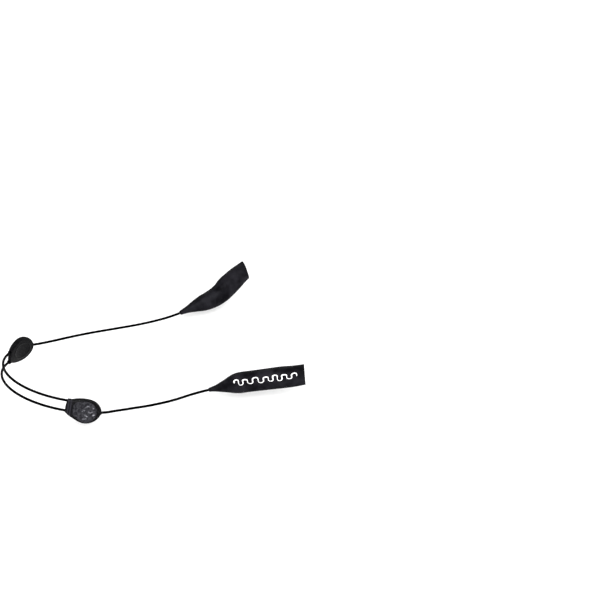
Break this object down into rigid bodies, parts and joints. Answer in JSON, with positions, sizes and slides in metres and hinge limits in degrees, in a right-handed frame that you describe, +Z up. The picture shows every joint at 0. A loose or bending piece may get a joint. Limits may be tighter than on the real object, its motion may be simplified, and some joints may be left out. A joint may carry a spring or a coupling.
{
  "type": "eyeglass retainer strap",
  "caption": "Eyeglass retainer strap: coated steel cables with rubber temple sleeves, joined by friction sliders that set the length of the loop.",
  "frame": {"origin": "under the middle of the sleeves and sliders, on the surface that the strap rests on", "axes": "+X towards the glasses, +Y towards the wearer's left sleeve (the far one), +Z up"},
  "size_m": [0.0996, 0.0998, 0.0183],
  "materials": {
    "sleeve_rubber": "satin moulded rubber",
    "slider_shell": "semi-gloss",
    "slider_badge": "satin with fine grain",
    "bush_silicone": "matte",
    "cable_coat": "gloss",
    "cable_steel": "stranded",
    "ferrule_brass": "crimped",
    "pin_steel": "ground"
  },
  "bodies": {
    "far_half": {"far_sleeve": "sleeve_rubber", "far_sleeve_stop": "ferrule_brass", "far_cable_coat": "cable_coat", "far_cable_core": "cable_steel", "near_slider_outer_shell": "slider_shell", "near_slider_inner_shell": "slider_shell", "near_slider_badge": "slider_badge", "near_slider_bush": "bush_silicone", "near_slider_ferrule": "ferrule_brass", "near_slider_pin_1": "pin_steel", "near_slider_pin_2": "pin_steel"},
    "near_half": {"near_sleeve": "sleeve_rubber", "near_sleeve_stop": "ferrule_brass", "near_cable_coat": "cable_coat", "near_cable_core": "cable_steel", "far_slider_outer_shell": "slider_shell", "far_slider_inner_shell": "slider_shell", "far_slider_badge": "slider_badge", "far_slider_bush": "bush_silicone", "far_slider_ferrule": "ferrule_brass", "far_slider_pin_1": "pin_steel", "far_slider_pin_2": "pin_steel"}
  },
  "joints": [
    {"name": "length_adjust", "type": "hinge", "parent": "far_half", "child": "near_half", "pos_m": [-0.02673, -0.01607, 0.0073], "axis": [0.2714, -0.0516, 0.9611], "range_deg": [-4, 60]}
  ]
}
